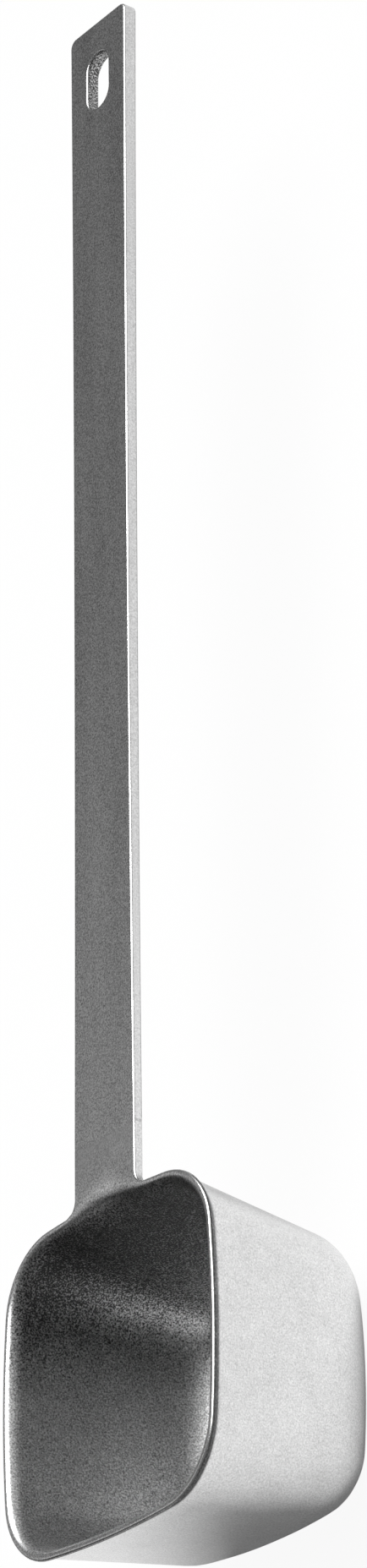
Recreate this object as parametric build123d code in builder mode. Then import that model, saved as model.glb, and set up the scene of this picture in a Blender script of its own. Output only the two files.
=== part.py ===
"""Measuring spoon: a deep square cup of drawn steel on a long flat bar handle.

The origin is the middle of the cup's flat underside. +Z points out of the mouth,
and the handle runs along +X with its upper face level with the rim.
"""

import os
from math import sqrt

from build123d import *

os.makedirs("parts", exist_ok=True)

# Cup: outside sizes, with each side bowed outwards between its corners
mouth_width = 40.75
mouth_bow = 1.33
mouth_corner_radius = 9.25
base_width = 33.15
base_bow = 1.33
base_corner_radius = 6.4
base_edge_radius = 8.75
cup_height = 28.85
wall = 1.0

# Lip: the wall turns out over a draw radius and ends in a thin rounded edge
lip_reach = 0.3
lip_edge = 0.5
lip_height = 1.4
draw_radius = 1.0
edge_radius = 0.28

# Neck: the tab that the cup's blank leaves at the rim, and the weld that joins the bar to it
neck_length = 7.5
neck_thickness = 1.25
neck_corner_radius = 1.8
weld_width = 0.6

# Handle: a flat bar, slightly waisted, that grows thicker towards its end
handle_width = 11.9
handle_waist = 0.28
handle_length = 155.2
handle_end_thickness = 1.92
handle_corner_radius = 1.2

# Hanging slot, set back from the handle's end to the slot's centre
slot_width = 4.45
slot_length = 8.3
slot_setback = 9.05

cut_overrun = 1.0

# How far up the base radius each outline is drawn, as shares of that radius
base_rise_shares = (0, 0.02, 0.08, 0.18, 0.32, 0.5, 0.75, 1)

# Places along the spoon
rim_half = mouth_width / 2
neck_end = rim_half + neck_length
weld_end = neck_end + weld_width
handle_end = weld_end + handle_length
slot_centre = handle_end - slot_setback


def bowed_square(width, bow, corner_radius, height):
    """A flat square face with sides that bow outwards and rounded corners."""
    corner = width / 2 - bow
    corners = [(corner, -corner), (corner, corner), (-corner, corner), (-corner, -corner)]
    with BuildSketch(Plane.XY.offset(height)) as outline:
        with BuildLine():
            for start, end in zip(corners, corners[1:] + corners[:1]):
                SagittaArc(start, end, -bow)
        make_face()
        fillet(outline.vertices(), corner_radius)
    return outline.sketch


def cup_outline(inset, height):
    """The cup's outline at a height, on its outer face or an inset inside it.

    The drafted wall runs straight down to the base radius. Below that the outline
    draws in along an arc and keeps its proportions.
    """
    share = height / cup_height
    width = base_width + (mouth_width - 2 * lip_reach - base_width) * share - 2 * inset
    bow = base_bow + (mouth_bow - base_bow) * share
    corner = base_corner_radius + (mouth_corner_radius - base_corner_radius) * share - inset
    radius = base_edge_radius - inset
    drop = max(radius - (height - inset), 0)
    drawn_in = radius - sqrt(radius**2 - drop**2)
    shrink = 1 - 2 * drawn_in / width
    return bowed_square(width * shrink, bow * shrink, corner * shrink, height)


def cup_form(inset, top):
    """The solid form of the cup up to a height, on its outer face or an inset inside it."""
    radius = base_edge_radius - inset
    with BuildPart() as form:
        loft(sections=[cup_outline(inset, inset + radius * rise) for rise in base_rise_shares])
        loft(sections=[cup_outline(inset, inset + radius), cup_outline(inset, top)], ruled=True)
    return form.part


# Neck tab: in plan it leaves the rim through two small fillets
with BuildPart() as tab:
    with BuildSketch(Plane.XY.offset(cup_height)) as tab_plan:
        add(bowed_square(mouth_width, mouth_bow, mouth_corner_radius, 0))
        with Locations((neck_end / 2, 0)):
            Rectangle(neck_end, handle_width)
        side_ends = tab_plan.vertices().filter_by(
            lambda vertex: abs(abs(vertex.Y) - handle_width / 2) < edge_radius
        )
        fillet(side_ends.group_by(Axis.X)[0], neck_corner_radius)
        with Locations(((neck_end + rim_half) / 2, 0)):
            Rectangle(
                neck_length + 2 * draw_radius,
                handle_width + 2 * neck_corner_radius,
                mode=Mode.INTERSECT,
            )
    extrude(amount=-neck_thickness)
    for side in (0, -1):
        underside_edges = tab.faces().sort_by(Axis.Z)[0].edges().filter_by(Axis.X)
        fillet(underside_edges.group_by(Axis.Y)[side], edge_radius)

# Bowl: cup, lip and neck tab, drawn and trimmed from one blank
space = cup_form(wall, cup_height)
with BuildPart() as bowl:
    add(cup_form(0, cup_height - lip_height))

    # Lip: a flare from the wall out to the edge, then the edge itself
    lip_outline = bowed_square(mouth_width, mouth_bow, mouth_corner_radius, cup_height - lip_edge)
    loft(sections=[cup_outline(0, cup_height - lip_height), lip_outline], ruled=True)
    extrude(lip_outline, amount=lip_edge)

    add(tab.part)
    add(space, mode=Mode.SUBTRACT)

    # Rounded edges: the draw radius inside the mouth, then the outer rim and the tab
    fillet(bowl.faces().sort_by(Axis.Z)[-1].inner_wires()[0].edges(), draw_radius)
    rim_edges = bowl.faces().sort_by(Axis.Z)[-1].outer_wire().edges()
    fillet(rim_edges.sort_by(Axis.X)[:-1], edge_radius)
bowl.part.label = "bowl"

# Weld: the seam across the bar, ground flush all round
with BuildPart() as neck_weld:
    with BuildSketch(Plane.YZ.offset(neck_end)):
        with Locations((0, cup_height - neck_thickness / 2)):
            RectangleRounded(handle_width, neck_thickness, edge_radius)
    extrude(amount=weld_width)
neck_weld.part.label = "neck_weld"

# Handle: its upper face is level with the rim, and its underside falls away to the end
with BuildPart() as handle:
    with BuildSketch(Plane.XZ):
        with BuildLine():
            Polyline(
                (weld_end, cup_height),
                (handle_end, cup_height),
                (handle_end, cup_height - handle_end_thickness),
                (weld_end, cup_height - neck_thickness),
                close=True,
            )
        make_face()
    extrude(amount=handle_width / 2, both=True)

    # Waisted sides
    with BuildSketch(Plane.XY.offset(cup_height)):
        with BuildLine():
            waisted_side = SagittaArc(
                (weld_end, handle_width / 2), (handle_end, handle_width / 2), -handle_waist
            )
            mirror(waisted_side, about=Plane.XZ)
            Line((weld_end, -handle_width / 2), (weld_end, handle_width / 2))
            Line((handle_end, -handle_width / 2), (handle_end, handle_width / 2))
        make_face()
    extrude(amount=-handle_end_thickness, mode=Mode.INTERSECT)
    fillet(handle.edges().filter_by(Axis.Z).group_by(Axis.X)[-1], handle_corner_radius)

    # Hanging slot, right through the bar
    with BuildSketch(Plane.XY.offset(cup_height + cut_overrun)):
        with Locations((slot_centre, 0)):
            SlotOverall(slot_length, slot_width)
    extrude(amount=-handle_end_thickness - 2 * cut_overrun, mode=Mode.SUBTRACT)

    # Rounded edges everywhere but at the weld
    for face in (0, -1):
        fillet(handle.faces().sort_by(Axis.Z)[face].edges().sort_by(Axis.X)[1:], edge_radius)
handle.part.label = "handle"

for piece in (bowl, neck_weld, handle):
    export_step(piece.part, f"parts/{piece.part.label}.step")

print("level capacity, ml:", round(space.volume / 1000, 2))
print("overall length, mm:", round(handle_end + rim_half, 1))
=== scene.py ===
import math

import bmesh
import bpy
from mathutils import Matrix, Vector


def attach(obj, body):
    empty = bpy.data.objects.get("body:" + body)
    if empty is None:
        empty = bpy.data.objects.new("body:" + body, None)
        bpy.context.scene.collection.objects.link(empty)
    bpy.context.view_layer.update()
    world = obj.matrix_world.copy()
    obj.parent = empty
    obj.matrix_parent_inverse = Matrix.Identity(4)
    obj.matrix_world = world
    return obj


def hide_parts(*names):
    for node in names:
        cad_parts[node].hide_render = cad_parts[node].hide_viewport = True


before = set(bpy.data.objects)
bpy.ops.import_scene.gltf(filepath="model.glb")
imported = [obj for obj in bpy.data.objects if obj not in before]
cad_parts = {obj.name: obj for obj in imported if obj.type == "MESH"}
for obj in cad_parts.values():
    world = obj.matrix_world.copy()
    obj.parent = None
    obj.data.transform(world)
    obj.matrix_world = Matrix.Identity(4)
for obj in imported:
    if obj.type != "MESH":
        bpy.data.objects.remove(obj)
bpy.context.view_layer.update()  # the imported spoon: bowl, neck_weld and handle
scene = bpy.context.scene
mm = 0.001  # the sizes below are in millimetres, Blender works in metres
print("frame loaded:", ", ".join(sorted(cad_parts)))


class Wire:  # an output socket; sums and products of wires add their Math nodes
    def __init__(self, graph, socket):
        self.graph = graph
        self.socket = socket

    def maths(self, operation, first, second):
        return self.graph.add("ShaderNodeMath", {"operation": operation}, {0: first, 1: second})

    def __add__(self, other):
        return self.maths("ADD", self, other)

    def __radd__(self, other):
        return self.maths("ADD", other, self)

    def __sub__(self, other):
        return self.maths("SUBTRACT", self, other)

    def __rsub__(self, other):
        return self.maths("SUBTRACT", other, self)

    def __mul__(self, other):
        return self.maths("MULTIPLY", self, other)

    def __rmul__(self, other):
        return self.maths("MULTIPLY", other, self)


class Graph:  # the node tree of a material or of the world
    def __init__(self, owner):
        owner.use_nodes = True
        self.tree = owner.node_tree
        self.tree.nodes.clear()

    def add(self, kind, settings=None, inputs=None, output=0):
        node = self.tree.nodes.new(kind)
        for name, value in (settings or {}).items():
            if name == "stops":  # a ramp's places and grey levels
                elements = node.color_ramp.elements
                while len(elements) < len(value):
                    elements.new(1)
                for element, (place, level) in zip(elements, value):
                    element.position = place
                    element.color = grey(level)
            else:
                setattr(node, name, value)
        for name, value in (inputs or {}).items():
            if isinstance(value, Wire):
                self.tree.links.new(value.socket, node.inputs[name])
            else:
                node.inputs[name].default_value = value
        return Wire(self, node.outputs[output]) if node.outputs else node


def grey(level):
    return (level, level, level, 1)


def step(share):  # eases from 0 to 1
    return share * share * (3 - 2 * share)


def between(first, second, share):
    return first + (second - first) * share


def millimetres(graph, stretch=(1, 1, 1)):
    place = graph.add("ShaderNodeTexCoord", output="Object")
    scale = tuple(s / mm for s in stretch)
    return graph.add("ShaderNodeVectorMath", {"operation": "MULTIPLY"}, {0: place, 1: scale})


def noise(graph, place, scale, detail):
    return graph.add(
        "ShaderNodeTexNoise", {}, {"Vector": place, "Scale": scale, "Detail": detail, "Roughness": 0.5}
    )


def satinSteel(name, look):
    material = bpy.data.materials.new(name)
    graph = Graph(material)
    # "inner" is -1 in the crease under the lip, 0 on outer faces,
    # 0.5 on faces that look up, and 1 inside the cup or the slot; the inside and the crease get painted
    # shade
    inner = graph.add("ShaderNodeAttribute", {"attribute_name": "inner"}, output="Fac")
    deep = graph.add(
        "ShaderNodeMath", {"operation": "MULTIPLY_ADD", "use_clamp": True}, {0: inner, 1: 2, 2: -1}
    )
    raised = graph.add("ShaderNodeMath", {"operation": "MULTIPLY", "use_clamp": True}, {0: inner, 1: 2})
    crease = graph.add("ShaderNodeMath", {"operation": "MULTIPLY", "use_clamp": True}, {0: inner, 1: -1})
    place = millimetres(graph)
    along = graph.add("ShaderNodeSeparateXYZ", {}, {"Vector": place}, output="X")
    upwards = graph.add("ShaderNodeSeparateXYZ", {}, {"Vector": place}, output="Z")
    darkerAlongBar = graph.add(  # the bar is darker than the cup, and the neck passes from one to the other
        "ShaderNodeMapRange", {"interpolation_type": "SMOOTHSTEP"},
        {"Value": along, "From Min": look["dullFrom"], "From Max": look["dullTo"]},
    )
    # A noise is 0.5 on average, so less 0.5 it swings about 0
    grain = noise(graph, millimetres(graph), look["grainScale"], look["grainDetail"]) - 0.5
    cloud = noise(graph, millimetres(graph, look["cloudStretch"]), 1.0, look["cloudDetail"]) - 0.5
    streak = noise(graph, millimetres(graph, look["streakStretch"]), 1.0, look["streakDetail"]) - 0.5
    grainShade = look["grainOuter"] + raised * (look["grainUp"] - look["grainOuter"])
    grainShade = grainShade + deep * (look["grainInner"] - look["grainUp"])
    share = look["tone"] + grain * grainShade + cloud * look["cloudShade"] + streak * look["streakShade"]
    across = graph.add(  # painted shade: inside, it is darker towards the handle and the rim
        "ShaderNodeMapRange", {"interpolation_type": "SMOOTHSTEP"},
        {
            "Value": along + upwards * look["acrossRise"],
            "From Min": look["acrossFrom"], "From Max": look["acrossTo"],
        },
    )
    # painted shade: the inside of the cup and the slot's wall are darkened
    share = share - deep * (look["innerDarker"] + across * look["acrossDarker"])
    # painted shade in the crease under the lip and a painted dark reflection on the bar's lower edge; on the
    # weld it is the seam's own darker trace
    share = share - crease * look["creaseDarker"] - darkerAlongBar * look["barDarker"]
    colour = graph.add(
        "ShaderNodeMix",
        {"data_type": "RGBA"},
        {0: share, 6: grey(look["dark"]), 7: grey(look["light"])},
        output=2,
    )
    rough = look["rough"] + deep * look["innerRougher"] + cloud * look["cloudRough"]
    height = grain * look["grainDepth"] + streak * look["streakDepth"] + cloud * look["cloudDepth"]
    bump = graph.add("ShaderNodeBump", {}, {"Strength": look["bump"], "Distance": mm, "Height": height})
    shader = graph.add(
        "ShaderNodeBsdfPrincipled",
        {},
        {"Base Color": colour, "Metallic": 1.0, "Roughness": rough, "Normal": bump},
    )
    graph.add("ShaderNodeOutputMaterial", {}, {"Surface": shader})
    return material


steelLook = {  # what the three steels share
    "dark": 0.06, "light": 0.96, "tone": 0.75, "rough": 0.25, "bump": 0.5,
    "acrossRise": 0.3, "acrossFrom": 6.0, "acrossTo": 25.0,
    "dullFrom": 22.0, "dullTo": 70.0, "barDarker": 0.11,
    "grainScale": 5.0, "grainDetail": 1.5, "grainUp": 1.8, "grainDepth": 0.004,
    "cloudDetail": 2.0, "cloudShade": 0.15, "cloudRough": 0.06, "cloudDepth": 0.003,
    "streakDetail": 2.0, "streakShade": 0.08, "streakDepth": 0.001,
}
cupSteelLook = steelLook | {
    "innerDarker": 0.13, "innerRougher": 0.18, "acrossDarker": 0.60, "creaseDarker": 0.75,
    "grainOuter": 0.75, "grainInner": 1.9,
    "cloudStretch": (0.3, 0.3, 0.3), "streakStretch": (1.2, 1.2, 0.12),
}
barSteelLook = steelLook | {
    "innerDarker": 0.44, "innerRougher": 0.05, "acrossDarker": 0.0, "creaseDarker": 0.75,
    "grainOuter": 0.65, "grainInner": 2.5,
    "cloudStretch": (0.04, 0.3, 0.3), "streakStretch": (0.06, 3.0, 3.0),
}
weldSteelLook = steelLook | {
    "innerDarker": 0.0, "innerRougher": 0.0, "acrossDarker": 0.0, "creaseDarker": 0.22,
    "grainOuter": 0.65, "grainInner": 1.8,
    "cloudStretch": (0.04, 0.3, 0.3), "streakStretch": (0.06, 3.0, 3.0),
}
cupSteel = satinSteel("cupSteel", cupSteelLook)
barSteel = satinSteel("barSteel", barSteelLook)
weldSteel = satinSteel("weldSteel", weldSteelLook)
print("finishes made")


# Every piece is made of rings of points, in millimetres
def joinRings(mesh, first, second, closed=True):
    count = len(first)
    for i in range(count if closed else count - 1):
        j = (i + 1) % count
        mesh.faces.new((first[i], first[j], second[j], second[i]))


def addRing(mesh, points):
    return [mesh.verts.new(Vector(point) * mm) for point in points]


def fanTo(mesh, ring, centre):
    tip = mesh.verts.new(Vector(centre) * mm)
    for i, vertex in enumerate(ring):
        mesh.faces.new((vertex, ring[(i + 1) % len(ring)], tip))


sharpAngle = 40  # degrees; a sharper bend than this is shaded as an edge
topDepth = 0.1  # down to here under the rim's top, a point belongs to the faces that look up


# innerOf gives each point its "inner" value from its number and its place in millimetres
def makePiece(name, mesh, material, node, innerOf):
    bmesh.ops.recalc_face_normals(mesh, faces=mesh.faces)
    inner = mesh.verts.layers.float.new("inner")
    for i, vertex in enumerate(mesh.verts):
        vertex[inner] = innerOf(i, vertex.co / mm)
    data = bpy.data.meshes.new(name)
    mesh.to_mesh(data)
    mesh.free()
    data.shade_smooth()
    data.set_sharp_from_angle(angle=math.radians(sharpAngle))
    data.materials.append(material)
    piece = bpy.data.objects.new(name, data)
    scene.collection.objects.link(piece)
    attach(piece, "root")
    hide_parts(node)
    print(name, "made:", len(data.polygons), "faces")


# The cup: sheet steel, its mouth and base are squares with bowed sides
cup = {
    "mouthWidth": 40.75, "mouthBow": 1.33, "mouthCorner": 9.25,
    "baseWidth": 33.15, "baseBow": 1.33, "baseCorner": 6.4, "baseRound": 8.75,
    "height": 28.85, "wall": 1.0,
    "lipReach": 0.3, "lipEdge": 0.5, "lipFlare": 1.4, "flareTilt": 41,
    "drawRound": 0.85, "drawOnset": 0.0, "onsetEnd": 30, "drawKnee": 40, "drawEase": 7.0,
    "edgeRound": 0.28, "underRound": 0.2, "creaseSupport": 0.02, "topShare": 0.5,
    "creaseRise": 0.6, "creaseStop": 4, "creaseFade": 2,  # where the crease's painted shade sets in, ends and fades
    "flatShares": (0.3, 0.65, 0.95),
    "sideCuts": 24, "cornerCuts": 14, "wallCuts": 8, "baseCuts": 14, "flareCuts": 7,
    "underCuts": 4, "edgeCuts": 6, "drawCuts": 16, "drawSteps": 40,
}
# The tab that the cup's blank leaves at the rim for the handle, bent over a softer draw radius
neck = {
    "length": 7.5, "width": 11.9, "thickness": 1.25, "corner": 1.8, "cove": 0.8,
    "drawRound": 2.1, "drawOnset": 5.5, "softFrom": 0.0, "softTo": 8.8,
    "edgeSupport": 0.06, "topShare": 0.1,
    "endShare": 0.88,  # the lines of points to its end corners start this far out, in half widths
    "outerCuts": 4, "cornerCuts": 8, "sideCuts": 4, "endCuts": 6,
}
rimTop = cup["height"]
neckEnd = cup["mouthWidth"] / 2 + neck["length"]


# The arcs of a bowed square: a side's radius and centre, the corner's centre, the side's half turn
def squareSide(width, bow, corner):
    half = width / 2 - bow
    radius = (half * half + bow * bow) / (2 * bow)
    centre = width / 2 - radius
    reach = radius - corner
    knee = (centre + math.sqrt(2 * reach * reach - centre * centre)) / 2
    return radius, centre, knee, math.asin(knee / reach)


# The rim's +X side with the neck tab, from its corner to the middle of the tab's end. With the
# points come their places on a side without the tab, as shares, and how far each is on the tab
def gateHalf(inset):
    radius, centre, _, turn = squareSide(
        cup["mouthWidth"] - 2 * inset, cup["mouthBow"], cup["mouthCorner"] - inset
    )
    half = neck["width"] / 2 - inset
    fillet = neck["corner"] + inset
    pivotX = centre + math.sqrt((radius + fillet) ** 2 - (half + fillet) ** 2)
    pivotY = half + fillet
    start = math.atan2(-pivotY, centre - pivotX)
    sideY = pivotY + fillet * math.sin(start)
    points, plain, tabShare = [], [], []
    for i in range(neck["outerCuts"]):
        y = between(radius * math.sin(turn), sideY, i / neck["outerCuts"])
        points.append((centre + math.sqrt(radius * radius - y * y), y))
        plain.append(y)
        tabShare.append(0)
    for i in range(neck["cornerCuts"]):
        share = i / neck["cornerCuts"]
        angle = between(start, -math.pi / 2, share)
        points.append((pivotX + fillet * math.cos(angle), pivotY + fillet * math.sin(angle)))
        plain.append(between(sideY, half, share))
        tabShare.append(step(share))
    for i in range(neck["sideCuts"]):
        share = i / neck["sideCuts"]
        points.append((between(pivotX, neckEnd, share), half))
        plain.append(half * between(1, neck["endShare"], share))
        tabShare.append(1)
    for i in range(neck["endCuts"] + 1):
        share = 1 - i / neck["endCuts"]
        points.append((neckEnd, half * share))
        plain.append(half * neck["endShare"] * share)
        tabShare.append(1)
    return points, [y / (radius * math.sin(turn)) for y in plain], tabShare


def mirrored(upper):  # a half list from the +Y side, made whole from -Y to +Y
    return [(x, -y) for x, y in upper] + upper[-2::-1]


halfPoints, halfShares, halfTab = gateHalf(0)
gateShares = [-share for share in halfShares] + halfShares[-2::-1]
gateTab = halfTab + halfTab[-2::-1]


# A ring of (x, y) round a bowed square; gate holds the +X side's points where they carry the tab
def outline(width, bow, corner, gate=None):
    radius, centre, knee, turn = squareSide(width, bow, corner)
    if gate is None:
        ys = [share * radius * math.sin(turn) for share in gateShares]
        gate = [(centre + math.sqrt(radius * radius - y * y), y) for y in ys]
    side = [between(-turn, turn, i / cup["sideCuts"]) for i in range(cup["sideCuts"])]
    bend = [between(turn, math.pi / 2 - turn, i / cup["cornerCuts"]) for i in range(cup["cornerCuts"])]
    ring = gate[:-1]
    for quarter in range(4):
        if quarter:
            quarterRing = [(centre + radius * math.cos(a), radius * math.sin(a)) for a in side]
        else:
            quarterRing = []
        quarterRing += [(knee + corner * math.cos(a), knee + corner * math.sin(a)) for a in bend]
        for x, y in quarterRing:
            for _ in range(quarter):
                x, y = -y, x
            ring.append((x, y))
    return ring


restTab = [0] * (len(outline(cup["mouthWidth"], cup["mouthBow"], cup["mouthCorner"])) - len(gateTab) + 1)
tabShares = gateTab[:-1] + restTab


def mixRings(first, second, shares):
    if not isinstance(shares, list):
        shares = [shares] * len(first)
    return [tuple(between(a, b, s) for a, b in zip(p, q)) for p, q, s in zip(first, second, shares)]


def lift(ring, heights):
    if not isinstance(heights, list):
        heights = [heights] * len(ring)
    return [(x, y, z) for (x, y), z in zip(ring, heights)]


def cupRing(inset, height):  # the cup's wall and base radius, on its outer face or an inset inside it
    share = height / cup["height"]
    width = between(cup["baseWidth"], cup["mouthWidth"] - 2 * cup["lipReach"], share) - 2 * inset
    bow = between(cup["baseBow"], cup["mouthBow"], share)
    corner = between(cup["baseCorner"], cup["mouthCorner"], share) - inset
    radius = cup["baseRound"] - inset
    drop = max(radius - (height - inset), 0)
    shrink = 1 - 2 * (radius - math.sqrt(radius * radius - drop * drop)) / width
    return outline(width * shrink, bow * shrink, corner * shrink)


def rimRing(inset, tab=True):  # the lip's outline, drawn in by an inset, with the neck tab or without
    gate = mirrored(gateHalf(inset)[0]) if tab else None
    return outline(cup["mouthWidth"] - 2 * inset, cup["mouthBow"], cup["mouthCorner"] - inset, gate)


def baseRings(inset):  # from the middle of the flat up to the end of the base radius
    radius = cup["baseRound"] - inset
    flat = cupRing(inset, inset)
    rings = [lift([(x * s, y * s) for x, y in flat], inset) for s in cup["flatShares"]]
    for i in range(cup["baseCuts"] + 1):
        angle = math.pi / 2 * i / cup["baseCuts"]
        height = inset + radius * (1 - math.cos(angle))
        rings.append(lift(cupRing(inset, height), height))
    return rings


def wallRings(lower, upper):  # rings between two, both left out
    return [mixRings(lower, upper, i / cup["wallCuts"]) for i in range(1, cup["wallCuts"])]


def tabValues(rimValue, tabValue):
    return [between(rimValue, tabValue, share) for share in tabShares]


# Outer face, up to where the wall turns out into the lip or the neck
rings = baseRings(0)
flareStart = rimTop - cup["lipFlare"]
neckStart = rimTop - neck["thickness"] - neck["cove"]
flareFoot = lift(
    mixRings(cupRing(0, flareStart), cupRing(0, neckStart), tabShares), tabValues(flareStart, neckStart)
)
rings += wallRings(rings[-1], flareFoot)

# The flare under the lip, and the cove under the neck
tilt = math.radians(cup["flareTilt"])
underInset = cup["underRound"] * (1 - math.cos(tilt))
underDepth = cup["lipEdge"] - cup["underRound"] * (1 - math.sin(tilt))
flareEnd = lift(
    mixRings(rimRing(underInset, tab=False), cupRing(-neck["cove"], rimTop), tabShares),
    tabValues(rimTop - underDepth, rimTop - neck["thickness"]),
)
flareFirst = len(rings)
for i in range(cup["flareCuts"] + 1):
    share = i / (cup["flareCuts"] + 1)
    angle = math.pi / 2 * i / cup["flareCuts"]
    outShares = tabValues(share * share, 1 - math.cos(angle))
    upShares = tabValues(share, math.sin(angle))
    rings.append([
        (between(a[0], b[0], out), between(a[1], b[1], out), between(a[2], b[2], upwards))
        for a, b, out, upwards in zip(flareFoot, flareEnd, outShares, upShares)
    ])

# The lip's rounded edge, from below to above, after a ring that keeps the crease crisp
lipDepths = tabValues(cup["lipEdge"], neck["thickness"])
underRounds = tabValues(cup["underRound"], cup["edgeRound"])
rings.append(lift(
    mixRings(rimRing(underInset), rimRing(cup["edgeRound"] + neck["edgeSupport"]), tabShares),
    tabValues(rimTop - underDepth - cup["creaseSupport"], rimTop - neck["thickness"]),
))
for i in range(cup["underCuts"] + 1):
    left = 1 - i / cup["underCuts"]
    tilts = [turn * left for turn in tabValues(tilt, math.pi / 2)]
    rings.append(lift(
        mixRings(
            rimRing(cup["underRound"] * (1 - math.cos(tilt * left))),
            rimRing(cup["edgeRound"] * (1 - math.cos(math.pi / 2 * left))),
            tabShares,
        ),
        [
            rimTop - depth + radius * (1 - math.sin(turn))
            for depth, radius, turn in zip(lipDepths, underRounds, tilts)
        ],
    ))
for i in range(cup["edgeCuts"] + 1):
    angle = math.pi / 2 * (1 - i / cup["edgeCuts"])
    inset = cup["edgeRound"] * (1 - math.sin(angle))
    rings.append(lift(rimRing(inset), rimTop - cup["edgeRound"] * (1 - math.cos(angle))))
topStart = len(rings)

# The top of the rim and the neck, then the draw radius down into the mouth
draft = math.atan((cup["mouthWidth"] - 2 * cup["lipReach"] - cup["baseWidth"]) / 2 / cup["height"])
sideRadius, _, _, sideTurn = squareSide(cup["mouthWidth"], cup["mouthBow"], cup["mouthCorner"])
softShares = [0] * len(tabShares)
for i, share in enumerate(gateShares[:-1]):
    y = abs(share) * sideRadius * math.sin(sideTurn)
    softShares[i] = step(min(max((neck["softTo"] - y) / (neck["softTo"] - neck["softFrom"]), 0), 1))


# How far in and down a draw radius has gone at an angle; it sets in softly and opens out past its knee
def drawCurve(form, angle):
    knee, onsetEnd = math.radians(cup["drawKnee"]), math.radians(cup["onsetEnd"])
    inward = down = 0
    for i in range(cup["drawSteps"]):
        turn = angle * (i + 0.5) / cup["drawSteps"]
        past = max(turn - knee, 0) / (math.pi / 2 - draft - knee)
        before = max(1 - turn / onsetEnd, 0)
        opening = between(1, cup["drawEase"], past ** 2) + form["drawOnset"] * before ** 2
        radius = form["drawRound"] * opening
        run = radius * angle / cup["drawSteps"]
        inward += run * math.cos(turn)
        down += run * math.sin(turn)
    return inward, down


def mouthRing(form, angle):  # on a draw radius, turned by an angle from the top face
    inward, down = drawCurve(form, angle)
    wholeIn, wholeDown = drawCurve(form, math.pi / 2 - draft)
    width = cup["mouthWidth"] - 2 * (cup["lipReach"] + cup["wall"])
    width += 2 * (wholeIn - wholeDown * math.tan(draft) - inward)
    corner = cup["mouthCorner"] - (cup["mouthWidth"] - 2 * cup["lipReach"] - width) / 2
    return lift(outline(width, cup["mouthBow"], corner), rimTop - down)


flat = mixRings(mouthRing(cup, 0), mouthRing(neck, 0), softShares)
topShares = tabValues(cup["topShare"], neck["topShare"])
rings.append(mixRings(flat, lift(rimRing(cup["edgeRound"]), rimTop), topShares))
drawStart = len(rings)
for i in range(cup["drawCuts"] + 1):
    angle = (math.pi / 2 - draft) * i / cup["drawCuts"]
    rings.append(mixRings(mouthRing(cup, angle), mouthRing(neck, angle), softShares))

# Inner face, down to the middle of the floor
inside = baseRings(cup["wall"])
rings += wallRings(rings[-1], inside[-1])
rings += inside[::-1]


def cupInner(i, place):
    ring, spot = divmod(i, len(tabShares))
    if ring < topStart:  # painted shade in the crease under the lip, which fades out towards the neck
        rising = min(max((ring - flareFirst) / (cup["creaseRise"] * cup["flareCuts"]), 0), 1) ** 2
        falling = min(max((topStart - cup["creaseStop"] - ring) / cup["creaseFade"], 0), 1)
        return -min(rising, falling) * (1 - tabShares[spot])
    if i == len(rings) * len(tabShares):
        return 0
    return 0.5 + min(max((ring - drawStart) / cup["drawCuts"], 0), 1) / 2


cupMesh = bmesh.new()
loops = [addRing(cupMesh, ring) for ring in rings]
for lower, upper in zip(loops, loops[1:]):
    joinRings(cupMesh, lower, upper)
fanTo(cupMesh, loops[0], (0, 0, 0))
fanTo(cupMesh, loops[-1], (0, 0, cup["wall"]))
makePiece("drawnCup", cupMesh, cupSteel, "bowl", cupInner)


# The weld seam across the bar, ground flush on its faces and a trace low at its sides
weld = {
    "width": 0.6, "sink": 0.03, "traceHalf": 0.2, "cornerCuts": 6,
    # places along the seam, each with its share of the sink
    "sections": ((0, 0), (0.1, 0), (0.3, 0.6), (0.5, 1), (0.7, 0.6), (0.9, 0), (1, 0)),
}
weldEnd = neckEnd + weld["width"]


def barSection(x, width, thickness, edge):  # a rounded rectangle round the bar at x
    ring = []
    for sideY, sideZ, start in ((1, 1, 0), (-1, 1, 90), (-1, -1, 180), (1, -1, 270)):
        for i in range(weld["cornerCuts"] + 1):
            angle = math.radians(start + 90 * i / weld["cornerCuts"])
            y = sideY * (width / 2 - edge) + edge * math.cos(angle)
            z = sideZ * (thickness / 2 - edge) + edge * math.sin(angle)
            ring.append((x, y, rimTop - thickness / 2 + z))
    return ring


def weldInner(i, place):  # the seam shows only as a darker trace at the sides
    if place.z > rimTop - topDepth:
        return 0.5
    return -1 if abs(place.x - (neckEnd + weldEnd) / 2) < weld["traceHalf"] else 0


weldMesh = bmesh.new()
loops = []
for share, sink in weld["sections"]:
    width = neck["width"] - 2 * weld["sink"] * sink
    section = barSection(between(neckEnd, weldEnd, share), width, neck["thickness"], cup["edgeRound"])
    loops.append(addRing(weldMesh, section))
for lower, upper in zip(loops, loops[1:]):
    joinRings(weldMesh, lower, upper)
weldMesh.faces.new(loops[0])
weldMesh.faces.new(loops[-1])
makePiece("weldSeam", weldMesh, weldSteel, "neck_weld", weldInner)


# The handle: a flat bar, slightly waisted and thicker towards its end
bar = {
    "length": 155.2, "waist": 0.28, "endThickness": 1.92, "corner": 1.2, "edgeRound": 0.28,
    "slotWidth": 4.45, "slotLength": 8.3, "slotSetback": 9.05, "slotPad": 6.0,
    "support": 0.05, "padShares": (0.35, 0.7, 1), "slotMargin": 0.05,
    "lowEdgeDarkReflection": -0.4, "lowEdgeShare": 0.9, "lowEdgeGap": 0.02,  # the band on the lower edge with a painted dark reflection
    "cuts": 52, "endCuts": 3, "cornerCuts": 8, "columns": 8, "edgeCuts": 5, "arcCuts": 10, "runCuts": 12,
}
barEnd = weldEnd + bar["length"]
slotX = barEnd - bar["slotSetback"]
waistRadius = (bar["length"] ** 2 / 4 + bar["waist"] ** 2) / (2 * bar["waist"])
# The sheet round the slot has as many points on its edge as the slot has
padCuts = 2 * bar["arcCuts"] + bar["runCuts"] - bar["columns"]
sheetInset = bar["edgeRound"] + bar["support"]  # the flat sheets end just inside the rounded edges


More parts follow.
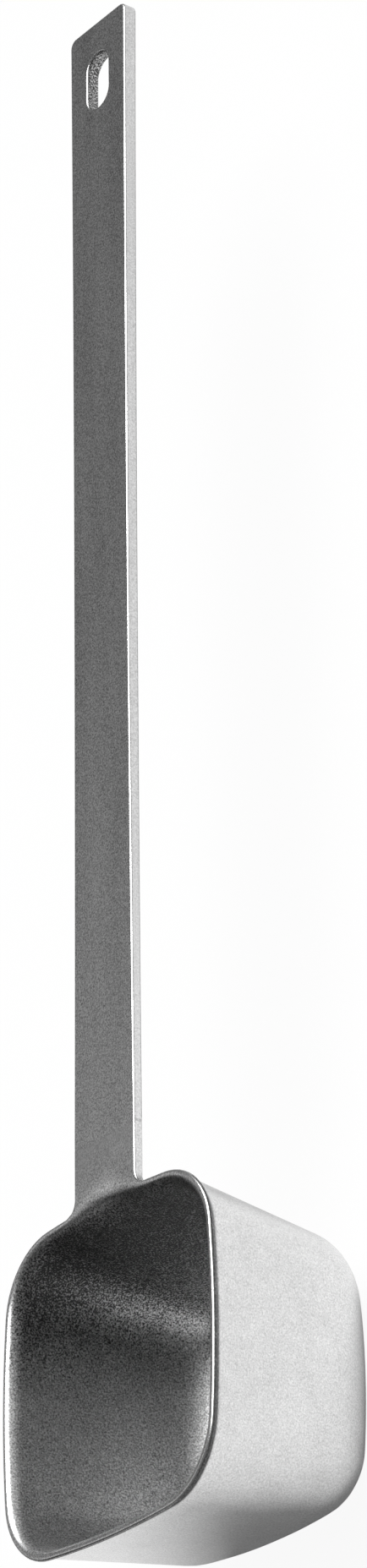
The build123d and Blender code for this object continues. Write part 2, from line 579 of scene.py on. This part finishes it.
def barHalf(x):
    middle = weldEnd + bar["length"] / 2
    sag = math.sqrt(waistRadius ** 2 - (x - middle) ** 2) - (waistRadius - bar["waist"])
    return neck["width"] / 2 - max(sag, 0)


def barDepth(x):
    return between(neck["thickness"], bar["endThickness"], (x - weldEnd) / bar["length"])


def barStations():
    slotStart, slotStop = slotX - bar["slotPad"], slotX + bar["slotPad"]
    cornerStart = barEnd - bar["corner"]
    xs = [between(weldEnd, slotStart, i / bar["cuts"]) for i in range(bar["cuts"])]
    xs += [between(slotStart, slotStop, i / padCuts) for i in range(padCuts)]
    return xs + [between(slotStop, cornerStart, i / bar["endCuts"]) for i in range(bar["endCuts"] + 1)]


def barSide(inset):  # the +Y side, from the weld to the end's corner
    points = [(x, barHalf(x) - inset) for x in barStations()]
    radius = bar["corner"] - inset
    cornerX, cornerY = barEnd - bar["corner"], barHalf(barEnd) - bar["corner"]
    for i in range(1, bar["cornerCuts"] + 1):
        angle = math.pi / 2 * (1 - i / bar["cornerCuts"])
        points.append((cornerX + radius * math.cos(angle), cornerY + radius * math.sin(angle)))
    return points


def barPath(inset):  # round the bar from the weld, along -Y, across the end and back along +Y
    side = barSide(inset)
    lower = [(x, -y) for x, y in side]
    endX, endY = side[-1]
    columns = bar["columns"]
    across = [(endX, between(-endY, endY, i / columns)) for i in range(1, columns)]
    return lower + across + side[::-1]


def slotPath(outset):  # round the slot from the side nearest the cup, towards +Y
    radius = bar["slotWidth"] / 2
    run = bar["slotLength"] / 2 - radius
    arc, straight = bar["arcCuts"], bar["runCuts"]
    points = []
    for start, centre in ((180, -run), (90, run), (0, run), (-90, -run)):
        for i in range(arc):
            angle = math.radians(start - 90 * i / arc)
            points.append((
                slotX + centre + (radius + outset) * math.cos(angle), (radius + outset) * math.sin(angle)
            ))
        if start == 180:
            points += [(slotX + between(-run, run, i / straight), radius + outset) for i in range(straight)]
        if start == 0:
            points += [(slotX - between(-run, run, i / straight), -radius - outset) for i in range(straight)]
    return points


def barSheet(mesh, inset, top):  # the upper or the lower face; returns its edge and the slot's edge
    side = barSide(inset)
    columns = bar["columns"]

    def height(x):
        return rimTop if top else rimTop - barDepth(x)

    lines = []
    for x, y in side:
        lines.append(addRing(mesh, [
            (x, between(-y, y, i / columns), height(x)) for i in range(columns + 1)
        ]))
    first, last = bar["cuts"], bar["cuts"] + padCuts
    for i, (near, far) in enumerate(zip(lines, lines[1:])):
        if not first <= i < last:
            joinRings(mesh, near, far, closed=False)
    middle = columns // 2
    pad = lines[first][middle:]
    pad += [line[-1] for line in lines[first + 1:last]] + lines[last][::-1]
    pad += [line[0] for line in lines[last - 1:first:-1]] + lines[first][:middle]
    padPoints = [vertex.co / mm for vertex in pad]
    slot = slotPath(inset)
    for share in bar["padShares"]:
        ring = addRing(mesh, [
            (between(p.x, x, share), between(p.y, y, share), height(between(p.x, x, share)))
            for p, (x, y) in zip(padPoints, slot)
        ])
        joinRings(mesh, pad, ring)
        pad = ring
    edge = [line[0] for line in lines] + lines[-1][1:-1] + [line[-1] for line in lines[::-1]]
    return edge, pad


def edgeSteps():  # inset and depth down a rounded edge, and the same from below
    steps = []
    for i in range(bar["edgeCuts"] + 1):
        angle = math.pi / 2 * i / bar["edgeCuts"]
        inset, depth = bar["edgeRound"] * (1 - math.sin(angle)), bar["edgeRound"] * (1 - math.cos(angle))
        steps.append((inset, depth, True))
    return steps + [(inset, depth, False) for inset, depth, _ in steps[::-1]]


barMesh = bmesh.new()
topEdge, topSlot = barSheet(barMesh, sheetInset, top=True)
underEdge, underSlot = barSheet(barMesh, sheetInset, top=False)
for edge, lastEdge, path, closed in (
    (topEdge, underEdge, barPath, False), (topSlot, underSlot, slotPath, True)
):
    for inset, depth, fromTop in edgeSteps():
        ring = addRing(barMesh, [
            (x, y, rimTop - (depth if fromTop else barDepth(x) - depth)) for x, y in path(inset)
        ])
        joinRings(barMesh, edge, ring, closed)
        edge = ring
    joinRings(barMesh, edge, lastEdge, closed)
openEdges = [edge for edge in barMesh.edges if edge.is_boundary]  # round the bar's end at the weld
bmesh.ops.holes_fill(barMesh, edges=openEdges, sides=0)


def barInner(i, place):  # the slot's sheared wall counts as inside, with its painted shade, and the lower edge gets a painted dark reflection
    nearSlot = (
        abs(place.y) < bar["slotWidth"] / 2 + bar["slotMargin"]
        and abs(place.x - slotX) < bar["slotLength"] / 2 + bar["slotMargin"]
    )
    if nearSlot and place.z < rimTop - bar["edgeRound"] / 2:
        return 1
    if place.z > rimTop - topDepth:
        return 0.5
    lowEdge = rimTop - barDepth(place.x) + bar["edgeRound"]
    onLowEdge = lowEdge - bar["edgeRound"] * bar["lowEdgeShare"] < place.z < lowEdge - bar["lowEdgeGap"]
    return bar["lowEdgeDarkReflection"] if onLowEdge else 0


makePiece("barHandle", barMesh, barSteel, "handle", barInner)


# The studio: a white floor, a dark room that the steel mirrors, and one wide lamp high on the handle's side
studio = {
    "horizon": 0.15, "horizonEnd": 0.05, "ceilingStart": 0.2, "ceiling": 0.13,
    "floorColour": 0.90, "floorSize": 12.0, "floorGlow": 1.0, "cameraGlow": 0.93, "glossGlow": 0.05,
    "floorDrop": 0.02, "lampFrom": (0.54, -0.10, 0.83), "lampStrength": 3.15, "lampAngle": 48,
}
# Cards and flags: direction, angular radius and softness in degrees, brightness
studioCards = {
    "frontFill": {"toward": (0.45, -0.75, 0.50), "radius": 32, "soft": 20, "level": 0.60},
    "behindCamera": {"toward": (-0.45, -0.74, 0.50), "radius": 30, "soft": 10, "level": 0.07},
    "behindFill": {"toward": (-0.48, -0.74, 0.52), "radius": 17, "soft": 8, "level": 0.26},
    "backFlag": {"toward": (-0.55, 0.75, 0.20), "radius": 34, "soft": 8, "level": 0.03},
    "backFill": {"toward": (-0.70, 0.58, 0.42), "radius": 14, "soft": 7, "level": 0.24},
    "neckCard": {"toward": (0.18, 0.77, 0.61), "radius": 13, "soft": 9, "level": 0.30},
    "bendCard": {"toward": (0.10, 0.75, 0.65), "radius": 8, "soft": 5, "level": 0.62},
}

world = bpy.data.worlds.new("studio")
scene.world = world
graph = Graph(world)
sky = graph.add("ShaderNodeTexCoord", output="Generated")
up = graph.add("ShaderNodeSeparateXYZ", {}, {"Vector": sky}, output="Z")
level = graph.add(
    "ShaderNodeValToRGB",
    {"stops": [
        (0.0, studio["horizon"]), (studio["horizonEnd"], studio["horizon"]),
        (studio["ceilingStart"], studio["ceiling"]), (1.0, studio["ceiling"]),
    ]},
    {"Fac": up},
)
for card in studioCards.values():
    toward = graph.add(
        "ShaderNodeVectorMath", {"operation": "DOT_PRODUCT"},
        {0: sky, 1: Vector(card["toward"]).normalized()}, output="Value",
    )
    outer = math.cos(math.radians(card["radius"] + card["soft"]))
    inner = math.cos(math.radians(card["radius"] - card["soft"]))
    share = graph.add(
        "ShaderNodeMapRange", {"interpolation_type": "SMOOTHSTEP"},
        {"Value": toward, "From Min": outer, "From Max": inner},
    )
    level = level + (card["level"] - level) * share
seen = graph.add("ShaderNodeLightPath", output="Is Camera Ray") + graph.add(
    "ShaderNodeLightPath", output="Is Transmission Ray"
)
level = level + (1 - level) * seen
background = graph.add("ShaderNodeBackground", {}, {"Color": level, "Strength": 1.0})
graph.add("ShaderNodeOutputWorld", {}, {"Surface": background})

floorMaterial = bpy.data.materials.new("whiteFloor")
graph = Graph(floorMaterial)
toCamera = graph.add("ShaderNodeLightPath", output="Is Camera Ray")
toGloss = graph.add("ShaderNodeLightPath", output="Is Glossy Ray")
toGlass = graph.add("ShaderNodeLightPath", output="Is Transmission Ray")
glowShare = toCamera * studio["cameraGlow"] + toGloss * studio["glossGlow"] + toGlass * studio["glossGlow"]
lit = graph.add("ShaderNodeBsdfDiffuse", {}, {"Color": grey(studio["floorColour"])})
glow = graph.add("ShaderNodeEmission", {}, {"Color": grey(1), "Strength": studio["floorGlow"]})
mixed = graph.add("ShaderNodeMixShader", {}, {0: glowShare, 1: lit, 2: glow})
graph.add("ShaderNodeOutputMaterial", {}, {"Surface": mixed})

floorMesh = bmesh.new()
reach = studio["floorSize"] / 2
floorCorners = ((-reach, -reach, 0), (reach, -reach, 0), (reach, reach, 0), (-reach, reach, 0))
floorMesh.faces.new([floorMesh.verts.new(corner) for corner in floorCorners])
floorData = bpy.data.meshes.new("floor")
floorMesh.to_mesh(floorData)
floorMesh.free()
floorData.materials.append(floorMaterial)
floor = bpy.data.objects.new("floor", floorData)
floor.location.z = -studio["floorDrop"] * mm  # a hair under the cup, so that no two faces share a plane
scene.collection.objects.link(floor)


def addLamp(name, direction, strength, angle):
    data = bpy.data.lights.new(name, "SUN")
    data.energy = strength
    data.angle = math.radians(angle)
    lamp = bpy.data.objects.new(name, data)
    lamp.location = Vector(direction) * 2  # only its direction matters, its light is parallel
    lamp.rotation_mode = "QUATERNION"
    lamp.rotation_quaternion = Vector(direction).to_track_quat("Z", "Y")
    scene.collection.objects.link(lamp)


addLamp("softLamp", studio["lampFrom"], studio["lampStrength"], studio["lampAngle"])
print("studio lit")

camera = {  # the photograph's viewing angle
    "place": (-0.19554, -0.43779, 0.34802),
    "right": (-0.01247, -0.59862, -0.80094),
    "up": (0.89562, -0.36287, 0.25726),
    "lens": 116.0,
}
right, upward = Vector(camera["right"]).normalized(), Vector(camera["up"]).normalized()
cameraData = bpy.data.cameras.new("camera")
cameraData.lens = camera["lens"]
cameraObject = bpy.data.objects.new("camera", cameraData)
cameraObject.rotation_mode = "QUATERNION"
cameraObject.rotation_quaternion = Matrix((right, upward, right.cross(upward))).transposed().to_quaternion()
cameraObject.location = camera["place"]
scene.collection.objects.link(cameraObject)
scene.camera = cameraObject
scene.view_settings.view_transform = "Standard"
print("camera set")
